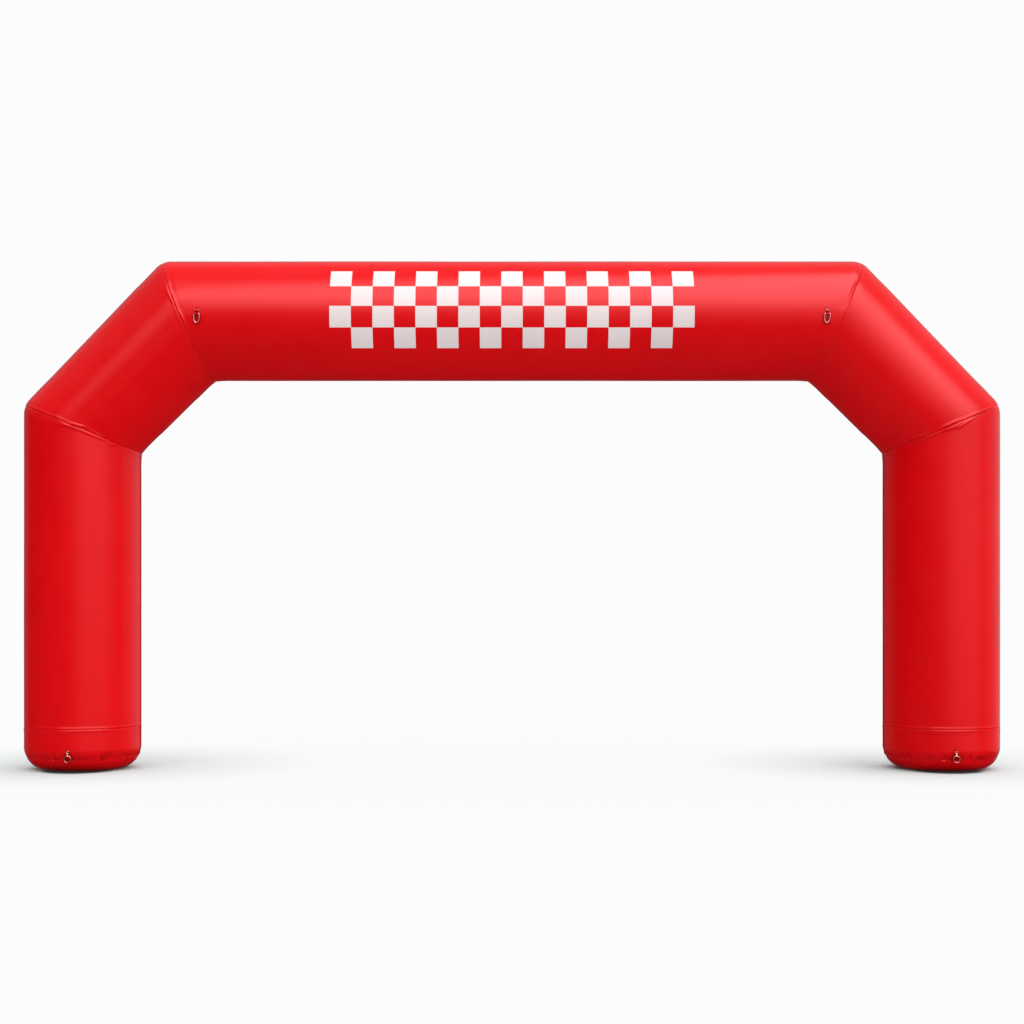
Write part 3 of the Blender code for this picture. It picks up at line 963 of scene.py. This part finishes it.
def lean_points(points, size, lean):
    """Turns what hangs below the tab's waist in the wall's plane, as the ring leans."""
    share = np.clip((size["waist"] + 0.006 - points[..., 2]) / size["waist"], 0, 1)
    angle = lean * share
    x, z = points[..., 0], points[..., 2]
    turned = points.copy()
    turned[..., 0] = x * np.cos(angle) + z * np.sin(angle)
    turned[..., 2] = z * np.cos(angle) - x * np.sin(angle)
    return turned


def tab_object(name, size, wire, standoff, wall, lean, material):
    """A webbing strap with rounded edges, folded round the wire."""
    path = tab_path(size, wire, standoff)
    along = np.gradient(path, axis=0)
    along /= np.linalg.norm(along, axis=1)[:, None]
    out = np.stack((-along[:, 1], along[:, 0]), -1)
    half, thick = size["width"] / 2, size["strap"] / 2
    flat = np.linspace(half - thick, thick - half, 10)
    bend = [math.pi * k / 6 for k in range(1, 6)]
    section = [(x, thick) for x in flat]
    section += [(thick - half - thick * math.sin(t), thick * math.cos(t)) for t in bend]
    section += [(-x, -thick) for x in flat]
    section += [(half - thick + thick * math.sin(t), -thick * math.cos(t)) for t in bend]
    section = np.array(section)
    x = np.broadcast_to(section[:, 0], (len(path), len(section)))
    yz = path[:, None] + section[None, :, 1:2] * out[:, None]
    points = lean_points(np.concatenate((x[..., None], yz), 2), size, lean)
    closed = np.concatenate((section, section[:1]))
    across = np.concatenate(([0], np.cumsum(np.linalg.norm(np.diff(closed, axis=0), axis=1))))
    lengths = np.concatenate(([0], np.cumsum(np.linalg.norm(np.diff(path, axis=0), axis=1))))
    along_points = np.broadcast_to(lengths[:, None], x.shape)
    return grid_object(name, place_points(points, wall), across, along_points, material)


def tack_runs(size, wall, tacks):
    """Bar tacks on the tab's front, each a column of short level stitches."""
    face = -GAP - 2.02 * size["strap"]
    runs = []
    for middle, width, low, high in tacks:
        count = max(2, round((high - low) / TACK_PITCH))
        z = np.linspace(low, high, count)
        slant = TACK_SLANT * np.where(np.arange(count) % 2 == 0, 1, -1)
        start = np.stack((np.full(count, middle - width / 2), np.full(count, face), z - slant), -1)
        end = np.stack((np.full(count, middle + width / 2), np.full(count, face), z + slant), -1)
        out = np.tile((0.0, -1.0, 0.0), (count, 1))
        turn = np.array(wall.to_3x3(), float)
        runs.append((place_points(start, wall), place_points(end, wall), out @ turn.T))
    return runs


def dress(item, slot, *nodes):
    """Rides on the one body and stands for these nodes, whose frame parts it hides. The slot is not used."""
    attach(item, "root")
    if nodes:
        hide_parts(*nodes)
    return item


def upper_anchor(side, sign, materials):
    """The ring on the beam's front, its tab and the tab's bar tacks."""
    lean = math.radians(UPPER_LEAN[side])
    bar = Vector((sign * UPPER_RING_X, -BEAM_R, UPPER_BAR_Z))
    wall = Matrix.Translation(bar)
    hang = wall @ Matrix.Translation((0, -UPPER_STANDOFF, 0)) @ Matrix.Rotation(lean, 4, "Y")
    mesh = ring_mesh(f"ring_upper_{side}", d_outline(UPPER_D, 64), UPPER_D["wire"])
    mesh.transform(hang)
    ring = finish_mesh(f"ring_upper_{side}", mesh, materials["steel"], sharp=180)
    dress(ring, "steel", f"upper_ring_{side}")
    name = f"strap_upper_{side}"
    strap = tab_object(name, UPPER_TAB, UPPER_D["wire"], UPPER_STANDOFF, wall, lean, materials["webbing"])
    dress(strap, "webbing", f"upper_tab_{side}")
    runs = tack_runs(UPPER_TAB, wall, UPPER_TACKS[side])
    dress(stitches(f"tacks_upper_{side}", runs, materials["tack"], TACK_R), "webbing")


def foot_anchor(kind, side, sign, angle, materials):
    """A ring on the foot, its link, its tab and the tab's tacks."""
    metal_name = "steel" if side == "left" else "brass"
    facing = Matrix.Translation((sign * LEG_X, 0, 0)) @ Matrix.Rotation(angle, 4, "Z")
    ring_r = (FOOT_RING_WIDTH - FOOT_WIRE) / 2
    sleeve_z = ring_r
    barrel_z = sleeve_z + SLEEVE_OUTER_R + LINK_BARREL_HEIGHT / 2 - LINK_BITE
    eye_z = barrel_z + LINK_BARREL_HEIGHT / 2 + LINK_EYE["height"] - LINK_EYE["wire"]
    hang = facing @ Matrix.Translation((0, -LEG_R - FOOT_STANDOFF, FOOT_RING_Z))
    circle = arc((0, 0), (ring_r, ring_r), 0, 2 * math.pi * (1 - 1 / 72), 71)
    mesh = ring_mesh(f"ring_{kind}_{side}", circle[::-1], FOOT_WIRE)
    mesh.transform(hang)
    ring = finish_mesh(f"ring_{kind}_{side}", mesh, materials["painted_dark"], sharp=180)
    dress(ring, "steel", f"{kind}_ring_{side}")
    metal = materials["pale" if side == "left" else "brass"]
    link = link_object(f"link_{kind}_{side}", (sleeve_z, barrel_z, eye_z), metal)
    link.data.transform(hang)
    dress(link, metal_name, f"{kind}_link_{side}")
    wall = facing @ Matrix.Translation((0, -LEG_R, FOOT_RING_Z + eye_z))
    name = f"strap_{kind}_{side}"
    strap = tab_object(name, FOOT_TAB, LINK_EYE["wire"], FOOT_STANDOFF, wall, 0.0, materials["webbing"])
    dress(strap, "webbing", f"{kind}_tab_{side}")
    runs = tack_runs(FOOT_TAB, wall, FOOT_TACKS)
    dress(stitches(f"tacks_{kind}_{side}", runs, materials["thread"], TACK_R), "webbing")


# Stage

def make_camera():
    """Level and straight on, with the horizon below the picture's middle."""
    data = bpy.data.cameras.new("camera")
    data.sensor_width = SENSOR_MM
    data.lens = SENSOR_MM * FOCAL_PX / IMAGE
    data.shift_y = (HORIZON_PX - IMAGE / 2) / IMAGE
    data.clip_end = 200
    camera = bpy.data.objects.new("camera", data)
    camera.location = CAMERA_PLACE
    camera.rotation_euler = (math.pi / 2, 0, 0)
    bpy.context.scene.collection.objects.link(camera)
    bpy.context.scene.camera = camera


def make_floor():
    """A pale floor with a painted contact shadow under each foot's front edge and a painted glow further off.
    """
    half = FLOOR_SIZE / 2
    mesh = bpy.data.meshes.new("floor")
    corners = [(-half, -half, 0), (half, -half, 0), (half, half, 0), (-half, half, 0)]
    mesh.from_pydata(corners, [], [(0, 1, 2, 3)])
    material, tree, shader = new_material("floor_pale")
    place = node(tree, "ShaderNodeTexCoord").outputs["Object"]
    x, y, _ = node(tree, "ShaderNodeSeparateXYZ", {0: place}).outputs
    aside = calc(tree, "SUBTRACT", calc(tree, "ABSOLUTE", x), LEG_X)
    middle, reach, most = FLOOR_GLOW
    apart = hypot(tree, aside, calc(tree, "SUBTRACT", y, middle))
    glow = ramp(tree, apart, *reach, 0.0, most, "LINEAR")
    middle, reach, least = FLOOR_SHADE
    apart = hypot(tree, aside, calc(tree, "SUBTRACT", y, middle))
    shade = ramp(tree, apart, *reach, least)
    glow = calc(tree, "MULTIPLY", glow, shade)
    pale = calc(tree, "MULTIPLY", shade, calc(tree, "SUBTRACT", 1.0, glow))
    tree.links.new(blend_colours(tree, pale, (0.0, 0.0, 0.0), FLOOR_COLOUR), shader.inputs["Base Color"])
    shader.inputs["Emission Color"].default_value = (WHITE, WHITE, WHITE, 1)
    tree.links.new(glow, shader.inputs["Emission Strength"])
    shader.inputs["Roughness"].default_value = 1.0
    shader.inputs["Specular IOR Level"].default_value = 0.0
    mesh.materials.append(material)
    floor = bpy.data.objects.new("floor", mesh)
    bpy.context.scene.collection.objects.link(floor)
    floor.visible_glossy = False


def share_of(tree, way, edges):
    """How far a direction lies within all of these soft edges, from 0 to 1."""
    total = 1.0
    for direction, start, end in edges:
        along = node(tree, "ShaderNodeVectorMath", {0: way, 1: direction}, operation="DOT_PRODUCT")
        total = calc(tree, "MULTIPLY", total, ramp(tree, along.outputs["Value"], start, end))
    return total


def mirrored_room(tree, way):
    """The light that gloss picks up from each direction."""
    rise = share_of(tree, way, [ROOM_RISE])
    side = share_of(tree, way, [ROOM_SIDE])
    room = calc(tree, "ADD", ROOM_LOW, calc(tree, "MULTIPLY", rise, ROOM_HIGH))
    room = calc(tree, "ADD", room, calc(tree, "MULTIPLY", calc(tree, "MULTIPLY", rise, side), ROOM_RIGHT))
    for radiance, edges in ((PANEL, PANEL_EDGES), (FRONT_PANEL, FRONT_EDGES), (BACK_PANEL, BACK_EDGES)):
        room = calc(tree, "ADD", room, calc(tree, "MULTIPLY", share_of(tree, way, edges), radiance))
    room = calc(tree, "ADD", room, calc(tree, "MULTIPLY", share_of(tree, way, REAR_EDGES), ROOM_REAR))
    loss = calc(tree, "MULTIPLY", share_of(tree, way, [ROOM_BACK]), ROOM_BACK_LOSS)
    room = calc(tree, "MULTIPLY", room, calc(tree, "SUBTRACT", 1.0, loss))
    return node(tree, "ShaderNodeVectorMath", {0: ROOM_COLOUR, "Scale": room}, operation="SCALE").outputs[0]


def make_world():
    """A white studio, lit most from above and from the right. Gloss mirrors a dimmer room with its panels."""
    world = bpy.data.worlds.new("studio")
    bpy.context.scene.world = world
    world.use_nodes = True
    world.cycles.sampling_method = "NONE"
    tree = world.node_tree
    tree.nodes.clear()
    way = node(tree, "ShaderNodeTexCoord").outputs["Generated"]
    slope = node(tree, "ShaderNodeVectorMath", {0: way, 1: SKY_SLOPE}, operation="DOT_PRODUCT")
    sky = calc(tree, "MAXIMUM", calc(tree, "ADD", slope.outputs["Value"], SKY), 0.0)
    rays = node(tree, "ShaderNodeLightPath").outputs
    lit = blend_colours(tree, rays["Is Glossy Ray"], sky, mirrored_room(tree, way))
    seen = blend_colours(tree, rays["Is Camera Ray"], lit, (WHITE, WHITE, WHITE))
    background = node(tree, "ShaderNodeBackground", {"Color": seen, "Strength": 1.0})
    output = node(tree, "ShaderNodeOutputWorld", {"Surface": background.outputs[0]})
    output.is_active_output = True


def main():
    make_camera()
    make_floor()
    make_world()
    scene = bpy.context.scene
    scene.view_settings.view_transform = "Standard"
    materials = {
        "cloth": coated_cloth("coated_cloth_red"),
        "printed": coated_cloth("coated_cloth_printed", printed=True),
        "webbing": webbing(),
        "thread": thread("thread_red", (0.44, 0.001, 0.003), (0.54, 0.002, 0.004)),
        # Painted highlight: the beam's tacks are real thread, but its pale pink stands in for the glint on
        # the tabs.
        "tack": thread("thread_pink", (0.90, 0.24, 0.24), (0.98, 0.42, 0.42)),
        # Painted reflection: the metals' base colours are tinted red for the red cloth they mirror. The foot
        # rings' steel is also painted darker, as painted shade.
        "steel": metal("plated_steel", (0.68, 0.25, 0.22), (0.92, 0.36, 0.31), 0.24),
        "painted_dark": metal("painted_dark_steel", (0.58, 0.16, 0.14), (0.80, 0.24, 0.205), 0.30),
        "pale": metal("pale_steel", (0.78, 0.50, 0.42), (0.98, 0.66, 0.56), 0.26),
        "brass": metal("pale_brass", (0.78, 0.50, 0.36), (0.98, 0.68, 0.48), 0.28),
    }
    for tube in all_tubes():
        cloth = materials["printed" if tube["name"] == "beam" else "cloth"]
        skin = dress(tube_skin(tube, cloth), "coated_cloth", tube["name"])
        dress(tube_stitches(tube, materials["thread"]), "webbing")
    for side, sign in SIDES.items():
        foot = foot_pieces(side, sign, materials)
        dress(foot["band"], "coated_cloth", f"foot_{side}")
        dress(foot["disc"], "coated_cloth", f"base_{side}")
        dress(foot["stitching"], "webbing")
        upper_anchor(side, sign, materials)
        foot_anchor("front", side, sign, 0, materials)
        foot_anchor("inner", side, sign, -sign * math.radians(INNER_TURN), materials)


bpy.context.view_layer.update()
main()
